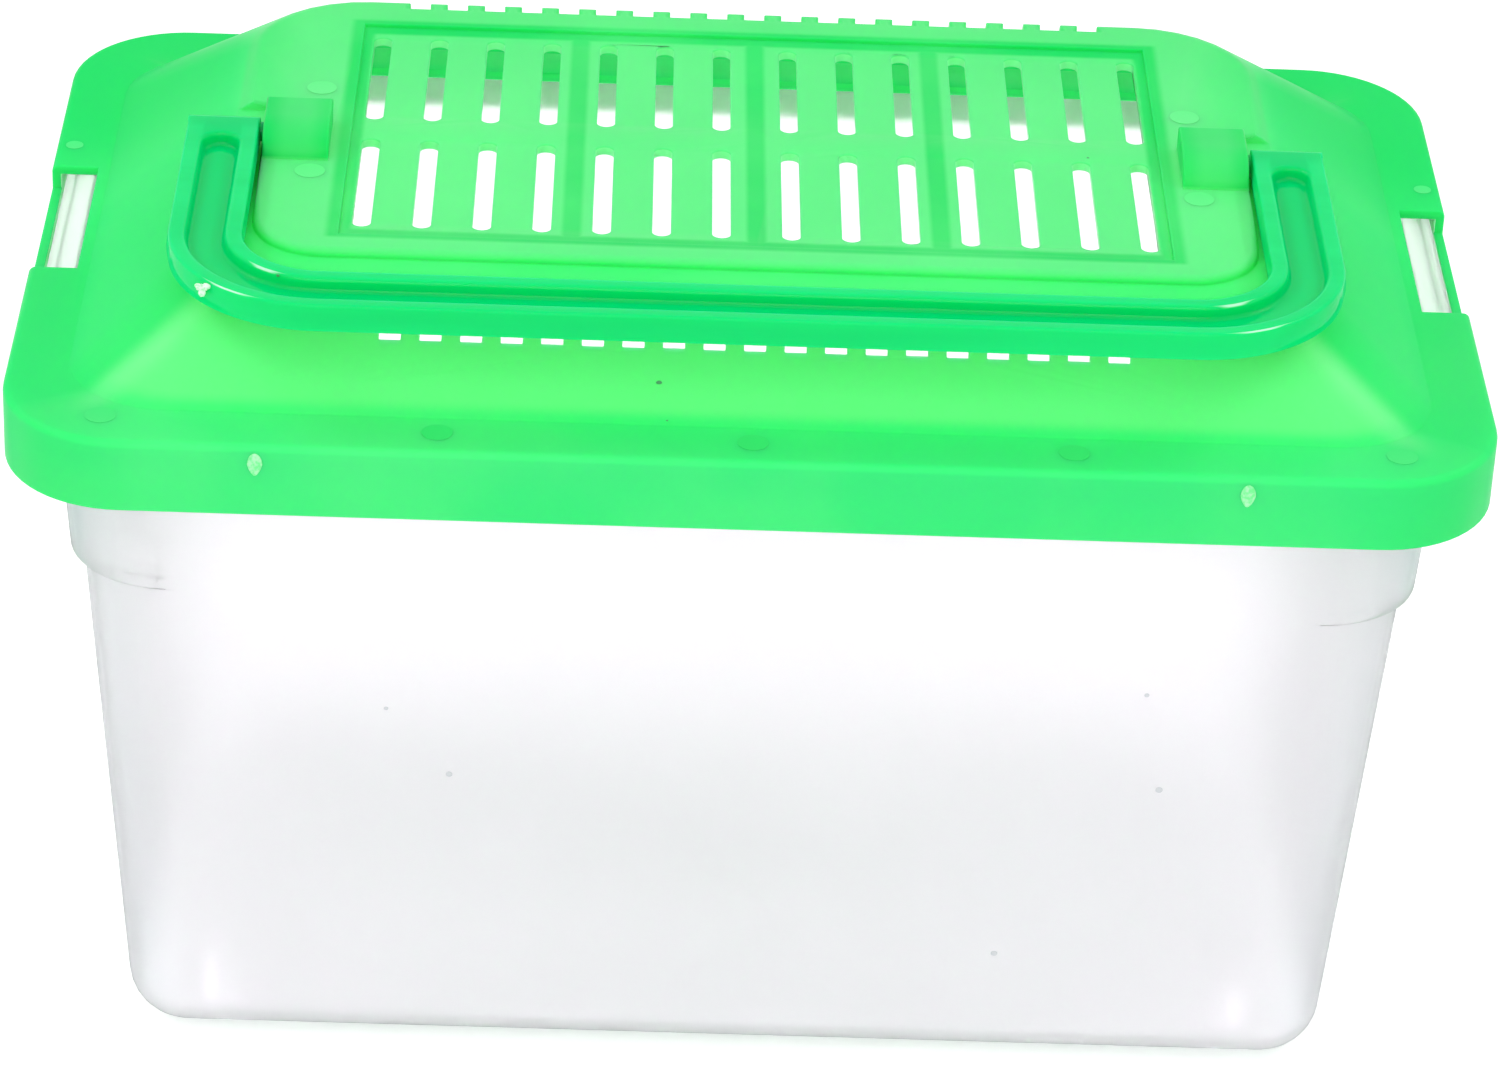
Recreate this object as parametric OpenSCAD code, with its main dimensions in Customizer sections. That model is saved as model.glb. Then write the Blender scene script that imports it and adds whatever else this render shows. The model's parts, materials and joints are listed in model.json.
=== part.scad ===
// Plastic pet keeper: a clear drafted tub, a snap-on green lid with a domed grille, and a carrying handle.
// The origin is at the middle of the footprint, on the surface that the feet stand on.

/* [Lid] */
// Length over the skirt
lid_l = 240; // [234:1:260]
// Width over the skirt
lid_w = 150.6; // [146:0.2:164]
// Corner radius of the skirt, seen from above
lid_r = 20; // [16:0.5:24]
// Wall of the lid
lid_t = 1.7; // [1.4:0.1:2]
// Height of the skirt
skirt_h = 12.5; // [11:0.5:16]
// Rounding of the top edge of the skirt
edge_r = 1.2; // [0.6:0.1:1.4]

/* [Dome] */
// Flat flange from the end of the lid to the foot of the dome
flange_end = 10; // [9:0.5:12]
// Flat flange from the side of the lid to the foot of the dome
flange_side = 10.8; // [10:0.2:13]
// Height of the dome over the flange
dome_rise = 19.6; // [15:0.2:26]
// Run of the end slope, seen from above
run_end = 25; // [22:0.5:27]
// Run of the side slope, seen from above
run_side = 16; // [14:0.5:17]
// Corner radius at the foot of the dome
foot_r = 16; // [12:0.5:20]
// Corner radius at the top of the dome
crown_r = 18.5; // [14:0.5:22]
// Rounding of the shoulder between slope and top
shoulder_r = 2; // [1:0.1:3]

/* [Grille] */
// Width of a grille slot
slot_w = 3; // [2:0.1:4]
// Length of a grille slot over its round ends
slot_l = 31.7; // [24:0.1:33]
// Distance between the slots of a group
slot_pitch = 9.72; // [8:0.02:10]
// Distance between the two slots beside the middle rib
slot_mid = 11.38; // [9:0.02:12]
// Web between the two rows of slots
row_web = 7.36; // [5:0.02:9]
// Depth of the panel that holds the slots
panel_drop = 0.7; // [0.3:0.05:0.9]
// Border between the outer slots and the end of the panel
panel_end = 1.9; // [1.5:0.1:2.6]
// Border between the slots and the side of the panel
panel_side = 3.9; // [2.5:0.1:4.5]
// Width of a stiffening rib under the panel
rib_w = 1.6; // [1.2:0.1:2]
// Depth of a stiffening rib
rib_h = 1.6; // [1:0.1:4]

/* [Slope vents] */
// Vents in each side slope
vent_n = 19; // [11:2:19]
// Distance between the vents
vent_pitch = 6.47; // [5.5:0.01:6.8]
// Width of a vent
vent_w = 3.5; // [2.4:0.1:4]
// Height of the lower end of the vents over the flange
vent_sill = 9.8; // [8:0.1:12]
// How far the rear vents cut into the top of the dome
vent_lap = 1.7; // [0.6:0.1:2.6]

/* [Catches] */
// Length of the notch over each end catch
notch_l = 37; // [24:0.5:44]
// Shift of the notch towards the back
notch_back = 1.2; // [0:0.1:3]
// Notch from the end of the lid to its inner edge
notch_in = 8; // [6:0.1:8.6]
// Depth of the notch under the top of the flange
notch_d = 4.2; // [3.6:0.1:6]
// Length of the catch in each notch
catch_l = 22; // [12:0.5:24]
// Length of a snap bead on the long sides
bead_l = 6; // [3:0.5:12]
// Distance from the middle of the lid to the snap beads
bead_x = 78.3; // [60:0.1:86]

/* [Handle] */
// Width of the handle, arms and bar
handle_w = 12.3; // [10:0.1:14]
// Thickness of the handle
handle_t = 4.8; // [4:0.1:5.6]
// Radius at the inside of the handle corners
handle_r = 13; // [9:0.5:16]
// Groove along the handle
groove_w = 6.3; // [4:0.1:7]
// Depth of the groove
groove_d = 2.3; // [1:0.1:2.8]
// Slope of each half of the handle sides, as an offset at the top and bottom
side_draft = 0.25; // [0.1:0.05:0.4]
// Rounding of the handle edges
handle_edge = 0.5; // [0.2:0.1:0.8]
// Solid stretch of the arm in front of the pin
arm_solid = 5.3; // [4:0.1:8]
// Diameter of the pivot pins
pin_d = 3.2; // [2.6:0.1:3.6]
// Length of a pivot pin
pin_l = 5.6; // [4:0.1:7]
// How far the handle arms reach in over the ends of the dome top
arm_lap = 2.9; // [1.5:0.1:4]
// Bar set in from the long side of the lid
bar_in = 4.2; // [2:0.1:6]
// Pivot in front of the middle of the lid
pivot_y = 6.2; // [3:0.1:10]

/* [Handle seat] */
// Depth of the recess that the handle lies in
recess_d = 1.5; // [1:0.1:2]
// Rear wall of the recess behind the pivot
recess_back = 13.2; // [10:0.1:16]
// Front edge of the raised pad, in from the front edge of the dome top
pad_in = 3.2; // [2:0.1:4.5]
// Corner radius of the raised pad
pad_r = 12; // [8:0.5:16]
// Length of a pivot boss along the pin
boss_l = 11; // [8:0.1:11]
// Boss behind the pivot
boss_back = 6.8; // [5:0.1:8]
// Boss in front of the pivot
boss_front = 7.6; // [6:0.1:9]
// Height of the bosses over the pad
boss_h = 4.5; // [4:0.1:6]

/* [Tub] */
// Height of the tub
tub_h = 126.8; // [100:0.2:150]
// Wall and floor of the tub
tub_t = 1.5; // [1.2:0.1:2]
// Slope of the tub walls
tub_draft = 4.08; // [2.5:0.02:4.5]
// Tub wall at the rim, in from the edge of the lid
rim_in = 9.15; // [7.5:0.05:10]
// Corner radius of the tub at the rim
rim_r = 19; // [17:0.5:24]
// Rounding between wall and floor
heel_r = 9; // [5:0.5:9]
// Step of the grip band at each end
band_out = 2.15; // [1.6:0.05:2.8]
// Height of the grip band
band_h = 31.8; // [20:0.2:40]
// Height of the turned-down lip
lip_h = 3.4; // [2.6:0.1:5]

/* [Feet] */
// Height of the feet under the floor
foot_h = 1.5; // [1:0.1:2.5]
// Width of a foot rib
foot_t = 2.5; // [1.5:0.1:3.5]
// Length of a foot along the tub
foot_x = 9; // [6:0.5:14]
// Length of a foot across the tub
foot_y = 15; // [8:0.5:20]

/* [Fits] */
// Gap between lid and rim where the lid rests
seat_gap = 0.2; // [0.1:0.05:0.4]
// Gap between the lip and the inside of the skirt
lip_gap = 0.8; // [0.5:0.05:1.2]
// Gap between a catch or bead and the lip
catch_gap = 0.1; // [0.05:0.05:0.3]
// Gap between the lying handle and the lid
rest_gap = 0.2; // [0.1:0.05:0.4]
// Gap between the handle arms and the pad
arm_gap = 0.5; // [0.4:0.05:0.8]
// Radial gap between a pin and its bore
pin_fit = 0.1; // [0.05:0.01:0.1]

/* [Hidden] */
$fn = 64;
HULL_FN = 32;
EPS = 0.01;
ARC_STEPS = 8;
CUT = 1;

draft_k = tan(tub_draft);
rim_cx = lid_l / 2 - rim_in - rim_r;
rim_cy = lid_w / 2 - rim_in - rim_r;
band_z = tub_h - band_h;
lip_l = lid_l - 2 * (lid_t + lip_gap);
lip_w = lid_w - 2 * (lid_t + lip_gap);
lip_r = lid_r - lid_t - lip_gap;
foot_in = 1.1;
gate_d = 8;
gate_drop = 0.5;

flange_under = tub_h + seat_gap;
flange_top = flange_under + lid_t;
skirt_z = flange_top - skirt_h;
dome_top = flange_top + dome_rise;
lid_cx = lid_l / 2 - lid_r;
lid_cy = lid_w / 2 - lid_r;
base_x = lid_l / 2 - flange_end;
base_y = lid_w / 2 - flange_side;
top_x = base_x - run_end;
top_y = base_y - run_side;
cot_end = run_end / dome_rise;
cot_side = run_side / dome_rise;
wall_end = lid_t * sqrt(1 + cot_end * cot_end);
wall_side = lid_t * sqrt(1 + cot_side * cot_side);

arm_x = top_x - arm_lap;
pad_x = arm_x - arm_gap;
pad_y = top_y - pad_in;
recess_z = dome_top - recess_d;
recess_y = recess_back - pivot_y;
pivot_z = recess_z + rest_gap + handle_t / 2;
bend_r = handle_r + handle_w / 2;
arm_cx = arm_x + handle_w / 2;
bar_cy = lid_w / 2 - bar_in - handle_w / 2;
bend_x = arm_cx - bend_r;
bend_y = bar_cy - bend_r;
groove_end = pivot_y + arm_solid + groove_w / 2;
groove_taper = 0.3;

side_slots = 7;
group_in = 3;
panel_x = slot_mid / 2 + (side_slots - 1) * slot_pitch + slot_w / 2 + panel_end;
panel_y = row_web / 2 + slot_l + panel_side;
rib_x = slot_mid / 2 + (group_in - 0.5) * slot_pitch;
vent_low = base_y - vent_sill * cot_side;
vent_front = base_y - (dome_rise - recess_d) * cot_side;
vent_ledge = 0.8;
catch_z = tub_h - lip_h - catch_gap;
catch_h = 2.2;

// Radius of the tub corner at a height
function wall_r(z) = rim_r - (tub_h - z) * draft_k;

// Points of an arc about a centre, from one angle to another
function arc(cu, cv, r, a, b) =
    [for (i = [0:ARC_STEPS])
        let (t = a + (b - a) * i / ARC_STEPS)
        [cu + r * cos(t), cv + r * sin(t)]];

// Half size of the rounded dome at a depth under its top
function crown_half(half, cot, depth) =
    let (slope = atan(1 / cot))
    depth >= shoulder_r * (1 - cos(slope))
        ? half + depth * cot
        : half - shoulder_r * tan(slope / 2) + sqrt(pow(shoulder_r, 2) - pow(shoulder_r - depth, 2));

// Rounded rectangle about the origin
module round_rect(x, y, r) {
    square([2 * x, 2 * (y - r)], center = true);
    square([2 * (x - r), 2 * y], center = true);
    for (sx = [-1, 1], sy = [-1, 1])
        translate([sx * (x - r), sy * (y - r)])
            circle(r);
}

// Carries a profile round a rectangle with quarter-turn corners about fixed centres
module sweep(cx, cy) {
    for (side = [0, 180]) {
        rotate([0, 0, side])
            translate([cx, 0, 0])
                rotate([90, 0, 0])
                    linear_extrude(2 * cy, center = true)
                        children();
        rotate([0, 0, side + 90])
            translate([cy, 0, 0])
                rotate([90, 0, 0])
                    linear_extrude(2 * cx, center = true)
                        children();
    }
    for (c = [[cx, cy, 0], [-cx, cy, 90], [-cx, -cy, 180], [cx, -cy, 270]])
        translate([c[0], c[1], 0])
            rotate([0, 0, c[2]])
                rotate_extrude(angle = 90)
                    children();
}

// Solid block with the drafted walls of the tub, drawn in by an inset
module drafted_block(cx, z1, z2, inset) {
    sweep(cx, rim_cy)
        polygon([[0, z1], [wall_r(z1) - inset, z1], [wall_r(z2) - inset, z2], [0, z2]]);
    translate([0, 0, (z1 + z2) / 2])
        cube([2 * cx, 2 * rim_cy, z2 - z1], center = true);
}

// Floor, rounded heel and lower wall in one profile
module tub_shell() {
    floor_r = wall_r(foot_h);
    heel = min(heel_r, floor_r - 0.5);
    heel_z = foot_h + heel;
    heel_u = wall_r(heel_z) - heel / cos(tub_draft);
    inner_u = wall_r(band_z) - tub_t / cos(tub_draft);
    sweep(rim_cx, rim_cy)
        polygon(concat(
            [[0, foot_h]],
            arc(heel_u, heel_z, heel, -90, -tub_draft),
            [[wall_r(band_z), band_z], [inner_u, band_z]],
            arc(heel_u, heel_z, heel - tub_t, -tub_draft, -90),
            [[0, foot_h + tub_t]]));
    translate([0, 0, foot_h + tub_t / 2])
        cube([2 * rim_cx, 2 * rim_cy, tub_t], center = true);
}

// Turned-down lip that the lid snaps over
module tub_lip() {
    difference() {
        translate([0, 0, tub_h - lip_h])
            linear_extrude(lip_h)
                round_rect(lip_l / 2, lip_w / 2, lip_r);
        translate([0, 0, tub_h - lip_h - CUT])
            linear_extrude(lip_h - tub_t + CUT)
                round_rect(lip_l / 2 - tub_t, lip_w / 2 - tub_t, lip_r - tub_t);
    }
}

// Four angle-shaped feet near the corners of the floor
module feet() {
    h = foot_h + tub_t / 2;
    for (sx = [-1, 1], sy = [-1, 1])
        translate([sx * (rim_cx - foot_in), sy * (rim_cy - foot_in), 0]) {
            translate([-sx * foot_x / 2, -sy * foot_t / 2, h / 2])
                cube([foot_x, foot_t, h], center = true);
            translate([-sx * foot_t / 2, -sy * foot_y / 2, h / 2])
                cube([foot_t, foot_y, h], center = true);
        }
}

module tub() {
    band_cx = rim_cx + band_out;
    inset = tub_t / cos(tub_draft);
    color([0.93, 0.95, 0.95, 0.6])
        difference() {
            union() {
                tub_shell();
                drafted_block(band_cx, band_z, tub_h, 0);
                tub_lip();
                feet();
            }
            drafted_block(band_cx, band_z + tub_t, tub_h + CUT, inset);
            drafted_block(rim_cx, band_z - CUT, band_z + tub_t + CUT, inset);
            translate([0, 0, foot_h - CUT])
                cylinder(d = gate_d, h = gate_drop + CUT);
        }
}

// One level of the outer dome
module dome_level(depth) {
    x = crown_half(top_x, cot_end, depth);
    y = crown_half(top_y, cot_side, depth);
    r = crown_r + (foot_r - crown_r) * depth / dome_rise;
    translate([0, 0, dome_top - depth - EPS])
        linear_extrude(EPS)
            round_rect(x, y, r, $fn = HULL_FN);
}

module dome_outer() {
    steep = max(atan(1 / cot_end), atan(1 / cot_side));
    hull() {
        for (i = [0:ARC_STEPS / 2])
            dome_level(shoulder_r * (1 - cos(steep * 2 * i / ARC_STEPS)));
        dome_level(dome_rise);
        translate([0, 0, flange_under])
            linear_extrude(EPS)
                round_rect(base_x, base_y, foot_r, $fn = HULL_FN);
    }
}

module dome_inner() {
    depth = lid_t;
    hull() {
        translate([0, 0, dome_top - depth - EPS])
            linear_extrude(EPS)
                round_rect(top_x + depth * cot_end - wall_end, top_y + depth * cot_side - wall_side,
                           crown_r - lid_t, $fn = HULL_FN);
        translate([0, 0, flange_top])
            linear_extrude(EPS)
                round_rect(base_x - wall_end, base_y - wall_side, foot_r - lid_t, $fn = HULL_FN);
        translate([0, 0, flange_under - CUT])
            linear_extrude(EPS)
                round_rect(base_x - wall_end, base_y - wall_side, foot_r - lid_t, $fn = HULL_FN);
    }
}

// Flange and skirt with a rounded top edge
module lid_rim() {
    sweep(lid_cx, lid_cy)
        polygon(concat(
            [[0, flange_under], [lid_r - lid_t, flange_under], [lid_r - lid_t, skirt_z], [lid_r, skirt_z]],
            arc(lid_r - edge_r, flange_top - edge_r, edge_r, 0, 90),
            [[0, flange_top]]));
    translate([0, 0, flange_under + lid_t / 2])
        cube([2 * lid_cx, 2 * lid_cy, lid_t], center = true);
}

// Outline of the raised pad inside the handle, drawn in by an inset
module pad_outline(inset) {
    x = pad_x - inset;
    y = pad_y - inset;
    r = pad_r - inset;
    translate([-x, r - y])
        square([2 * x, lid_w]);
    translate([r - x, -y])
        square([2 * (x - r), 2 * r]);
    for (sx = [-1, 1])
        translate([sx * (x - r), r - y])
            circle(r);
}

// Space round the pad where the handle lies, from a height upwards
module handle_seat(z, inset) {
    translate([0, 0, z])
        linear_extrude(dome_top - z + CUT)
            difference() {
                translate([-lid_l / 2, -lid_w / 2])
                    square([lid_l, lid_w / 2 + recess_y + inset]);
                pad_outline(inset);
            }
}

// Full wall under the recessed panel, with its stiffening ribs
module panel_back() {
    reach_x = panel_x + lid_t;
    reach_y = panel_y + lid_t;
    low = dome_top - panel_drop - lid_t;
    translate([-reach_x, -reach_y, low])
        cube([2 * reach_x, 2 * reach_y, lid_t + CUT]);
    translate([0, 0, low - rib_h])
        linear_extrude(rib_h + CUT) {
            difference() {
                square([2 * panel_x, 2 * panel_y], center = true);
                square([2 * (panel_x - rib_w), 2 * (panel_y - rib_w)], center = true);
            }
            for (x = [-rib_x, 0, rib_x])
                translate([x - rib_w / 2, -panel_y])
                    square([rib_w, 2 * panel_y]);
        }
}

// Round-ended slots of the grille, two rows on each side of the middle rib
module grille_slots() {
    reach = slot_l - slot_w;
    slot_z = dome_top - panel_drop - lid_t - CUT;
    for (sx = [-1, 1], sy = [-1, 1], i = [0:side_slots - 1])
        translate([sx * (slot_mid / 2 + i * slot_pitch), sy * (row_web + slot_l) / 2, slot_z])
            linear_extrude(lid_t + 2 * CUT) {
                square([slot_w, reach], center = true);
                for (e = [-1, 1])
                    translate([0, e * reach / 2])
                        circle(d = slot_w, $fn = HULL_FN);
            }
}

// Vents through the front and rear slopes
module slope_vents() {
    z = flange_top + vent_sill / 2;
    rear_y = top_y - vent_lap;
    front_y = vent_front + vent_ledge;
    for (i = [0:vent_n - 1])
        translate([(i - (vent_n - 1) / 2) * vent_pitch - vent_w / 2, 0, z]) {
            translate([0, rear_y, 0])
                cube([vent_w, vent_low - rear_y, dome_top - z + CUT]);
            translate([0, -vent_low, 0])
                cube([vent_w, vent_low - front_y, dome_top - z + CUT]);
        }
}

// Pivot boss with an upright back and a rounded front
module boss() {
    low = dome_top - lid_t / 2;
    for (sx = [-1, 1])
        translate([sx * (pad_x - boss_l / 2), -pivot_y, 0])
            rotate([90, 0, 90])
                linear_extrude(boss_l, center = true)
                    polygon(concat(
                        [[boss_back, low], [boss_back, dome_top + boss_h]],
                        [for (i = [0:ARC_STEPS])
                            let (t = 90 * i / ARC_STEPS)
                            [-boss_front * sin(t), dome_top + boss_h * cos(t)]],
                        [[-boss_front, low]]));
}

// Blind bores that the handle pins turn in
module pin_bores() {
    depth = pin_l - arm_gap + 2 * rest_gap;
    for (sx = [-1, 1])
        translate([sx * (pad_x - depth), -pivot_y, pivot_z])
            rotate([0, sx * 90, 0])
                cylinder(d = pin_d + 2 * pin_fit, h = depth + CUT);
}

// Notch through flange and upper skirt over an end catch
module end_notches() {
    for (sx = [-1, 1])
        translate([sx * lid_l / 2, notch_back, flange_top - notch_d / 2 + CUT / 2])
            cube([2 * notch_in, notch_l, notch_d + CUT], center = true);
}

// Wedge that reaches from the skirt to the edge of the lip
module catch_wedge(reach, length) {
    rotate([90, 0, 0])
        linear_extrude(length, center = true)
            polygon([[0, catch_z], [-reach, catch_z],
                     [-reach, catch_z - catch_h / 4], [0, catch_z - catch_h]]);
}

module catches() {
    reach = lip_gap - catch_gap + lid_t / 2;
    for (a = [0, 180])
        rotate([0, 0, a]) {
            translate([lid_l / 2 - lid_t / 2, 0, 0])
                catch_wedge(reach, catch_l);
            for (sx = [-1, 1])
                translate([sx * bead_x, lid_w / 2 - lid_t / 2, 0])
                    rotate([0, 0, 90])
                        catch_wedge(reach, bead_l);
        }
}

module lid() {
    color([0.35, 0.95, 0.52])
        difference() {
            union() {
                lid_rim();
                dome_outer();
                boss();
                catches();
            }
            difference() {
                dome_inner();
                handle_seat(recess_z - lid_t, lid_t);
                panel_back();
            }
            handle_seat(recess_z, 0);
            translate([0, 0, dome_top + CUT / 2 - panel_drop / 2])
                cube([2 * panel_x, 2 * panel_y, panel_drop + CUT], center = true);
            grille_slots();
            slope_vents();
            pin_bores();
            end_notches();
        }
}

// Cross-section of the handle without its groove
module handle_section() {
    hw = handle_w / 2;
    ht = handle_t / 2;
    e = handle_edge;
    polygon(concat(
        [[-hw, 0]],
        arc(e - hw + side_draft, e - ht, e, 180, 270),
        arc(hw - side_draft - e, e - ht, e, 270, 360),
        [[hw, 0]],
        arc(hw - side_draft - e, ht - e, e, 0, 90),
        arc(e - hw + side_draft, ht - e, e, 90, 180)));
}

// Cross-section of the groove, open upwards
module groove_section() {
    top = handle_t / 2;
    gw = groove_w / 2;
    polygon([[-gw, top + CUT], [-gw, top], [groove_taper - gw, top - groove_d],
             [gw - groove_taper, top - groove_d], [gw, top], [gw, top + CUT]]);
}

// Carries a section along the bar, round the corners and back along the arms
module handle_path(arm_end) {
    translate([0, -bar_cy, 0])
        rotate([90, 0, 90])
            linear_extrude(2 * bend_x, center = true)
                children();
    for (sx = [-1, 1]) {
        translate([sx * bend_x, -bend_y, 0])
            rotate([0, 0, sx > 0 ? -90 : 180])
                rotate_extrude(angle = 90)
                    translate([bend_r, 0])
                        children();
        translate([sx * arm_cx, -arm_end, 0])
            rotate([90, 0, 0])
                linear_extrude(bend_y - arm_end)
                    children();
    }
}

// Rounded end of an arm with its pin
module arm_hub() {
    rotate([0, 90, 0])
        cylinder(d = handle_t, h = handle_w - 2 * side_draft, center = true);
    translate([-handle_w / 2 - pin_l, 0, 0])
        rotate([0, 90, 0])
            cylinder(d = pin_d, h = pin_l + side_draft + CUT);
}

module handle() {
    floor_w = groove_w - 2 * groove_taper;
    color([0.13, 0.84, 0.43])
        translate([0, 0, pivot_z])
            difference() {
                union() {
                    handle_path(pivot_y)
                        handle_section();
                    for (sx = [-1, 1])
                        translate([sx * arm_cx, -pivot_y, 0])
                            rotate([0, 0, sx > 0 ? 0 : 180])
                                arm_hub();
                }
                handle_path(groove_end)
                    groove_section();
                for (sx = [-1, 1])
                    translate([sx * arm_cx, -groove_end, handle_t / 2])
                        rotate_extrude()
                            polygon([[0, -groove_d], [floor_w / 2, -groove_d], [groove_w / 2, 0],
                                     [groove_w / 2, CUT], [0, CUT]]);
            }
}

tub();
lid();
handle();
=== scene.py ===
"""Finishes and small moulded details of a plastic pet keeper, with the stage that shows it."""

import json
import math

import bmesh
import bpy
from mathutils import Matrix, Vector, noise as bpy_noise
from mathutils.bvhtree import BVHTree

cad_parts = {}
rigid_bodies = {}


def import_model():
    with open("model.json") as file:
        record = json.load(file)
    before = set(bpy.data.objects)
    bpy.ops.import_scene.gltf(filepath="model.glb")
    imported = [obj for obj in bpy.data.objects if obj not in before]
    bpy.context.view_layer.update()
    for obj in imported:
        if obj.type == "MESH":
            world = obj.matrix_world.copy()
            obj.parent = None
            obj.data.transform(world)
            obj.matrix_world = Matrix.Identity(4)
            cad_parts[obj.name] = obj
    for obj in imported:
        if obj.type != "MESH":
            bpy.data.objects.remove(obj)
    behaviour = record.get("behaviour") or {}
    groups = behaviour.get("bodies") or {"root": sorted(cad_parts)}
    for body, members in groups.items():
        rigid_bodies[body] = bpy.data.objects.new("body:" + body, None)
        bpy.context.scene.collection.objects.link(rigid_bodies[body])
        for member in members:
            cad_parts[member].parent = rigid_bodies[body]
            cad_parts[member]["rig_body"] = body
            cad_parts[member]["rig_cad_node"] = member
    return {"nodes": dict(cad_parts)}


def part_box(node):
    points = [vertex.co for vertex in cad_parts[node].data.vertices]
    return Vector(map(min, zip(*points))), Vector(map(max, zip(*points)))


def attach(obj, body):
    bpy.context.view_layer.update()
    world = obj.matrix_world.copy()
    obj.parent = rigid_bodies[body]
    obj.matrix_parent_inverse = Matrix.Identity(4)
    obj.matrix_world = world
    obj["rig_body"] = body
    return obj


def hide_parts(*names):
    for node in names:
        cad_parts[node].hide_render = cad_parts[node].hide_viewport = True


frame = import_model()

bl_info = {
    "name": "Plastic pet keeper",
    "version": (1, 0, 0),
    "blender": (4, 5, 0),
    "location": "View3D > Sidebar > Pet keeper",
    "description": "Materials, moulding marks and stage for a plastic pet keeper",
    "category": "Object",
}

MM = 0.001
IMAGE_WIDTH = 1500

MERGE = 0.002 * MM
FLAT_ANGLE = math.radians(0.6)
EDGE_ANGLE = math.radians(28)
SMOOTH_ANGLE = math.radians(35)
# No rounding lies further off its sharp edge than this share of its width
DEEPEST_CUT = 0.35

TUB_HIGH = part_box("tub")[1]
LID_LOW, LID_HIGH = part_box("lid")
HANDLE_LOW, HANDLE_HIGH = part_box("handle")

# Lid: skirt, dome, the foot and run of its slopes, half sizes of the panel, ribs and bosses
SKIRT = 12.5 * MM
FLANGE_TOP = LID_LOW.z + SKIRT
BOSS_RISE = 4.5 * MM
DOME_TOP = LID_HIGH.z - BOSS_RISE
FOOT_X = LID_HIGH.x - 10 * MM
FOOT_Y = LID_HIGH.y - 10.8 * MM
RUN_END = 25 * MM
RUN_SIDE = 16 * MM
PANEL = Vector((67.4 * MM, 39.3 * MM))
RIB_PITCH = 30 * MM
BOSS_X = 76 * MM
SEAT = 1.5 * MM
BEAD = Vector((78.4 * MM, LID_HIGH.y, LID_LOW.z + 9.2 * MM))

# Handle: bar, bends, hubs and pins
BAR_HALF = 6.15 * MM
ARM_X = HANDLE_HIGH.x - BAR_HALF
BAR_Y = HANDLE_LOW.y + BAR_HALF
BEND = 19.15 * MM
HUB = (HANDLE_HIGH.z - HANDLE_LOW.z) / 2
PIN = Vector((0, HANDLE_HIGH.y - HUB, HANDLE_HIGH.z - HUB))
HUB_FRONT = PIN.y - 1.6 * MM
BORE_REACH = 2.6 * MM
# The ways that the edges with painted highlights on the left and the right corner face
GLINTS = (Vector((-0.56, -0.83)), Vector((0.39, -0.92)))

# Tub: grip bands and the draft of its walls
BAND_HEIGHT = 31.8 * MM
BAND_LOW = TUB_HIGH.z - BAND_HEIGHT
DRAFT = 0.0713

# Share of the light that spreads inside a wall
SPREAD = 0.7

# Where one tint of the lid passes into the next
END_SLOPES = (FOOT_X - 30 * MM, FOOT_X - 20 * MM)
REAR_ENDS = (FOOT_X - 40 * MM, FOOT_X - 15 * MM)
OUTER_FLANGE = (FOOT_X - 18 * MM, FOOT_X + 6 * MM)
REAR_SLOPES = (-30 * MM, 45 * MM)
REAR_FLANGE = (10 * MM, 60 * MM)
REAR_RIDGES = (30 * MM, 45 * MM)

# Places in millimetres
EJECTOR_PLACES = (
    (-50, -69), (0, -69), (51, -69), (-103.4, -66.8), (103.4, -66.8), (-50, 69), (0, 69), (51, 69),
)
SMALL_MARKS = ((-116.9, 27.8), (116.9, 27.8))
SMALL_SHARE = 0.6
PAD_MARKS = ((-73.4, -17.7), (73.1, -17.4), (-73.3, 13.4), (72.8, 13))
BURR_PLACE = (-87.2, -64.2, 150.6)
BURR_POINTS = ((-1, -0.4, 0.7), (1, -0.1, 0.6), (-0.1, -0.5, -1))
# Places and radii in millimetres
LID_SPECKS = ((-15.16, -60.1, 134.0, 0.5), (-13.7, -63.95, 129.3, 0.2), (55.6, -2.2, 147.5, 0.3))
HANDLE_SPECKS = ((-75.6, -61.2, 151.7, 0.3),)
TUB_SPECKS = (
    (-47.64, -61.35, 59.5, 0.6), (70.16, -61.44, 60.7, 0.65), (45.0, -58.9, 25.1, 0.6),
    (66.6, -62.82, 80.0, 0.45), (-58.1, -62.29, 72.6, 0.4),
)


def colour_value(name, description, default):
    return bpy.props.FloatVectorProperty(
        name=name, description=description, default=default, subtype="COLOR", min=0, max=1
    )


def length_value(name, description, default):
    return bpy.props.FloatProperty(name=name, description=description, default=default, unit="LENGTH")


def angle_value(name, description, default):
    return bpy.props.FloatProperty(name=name, description=description, default=default, unit="ROTATION")


def power_value(name, description, default):
    return bpy.props.FloatProperty(
        name=name, description=description, default=default, subtype="POWER", unit="POWER"
    )


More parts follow.
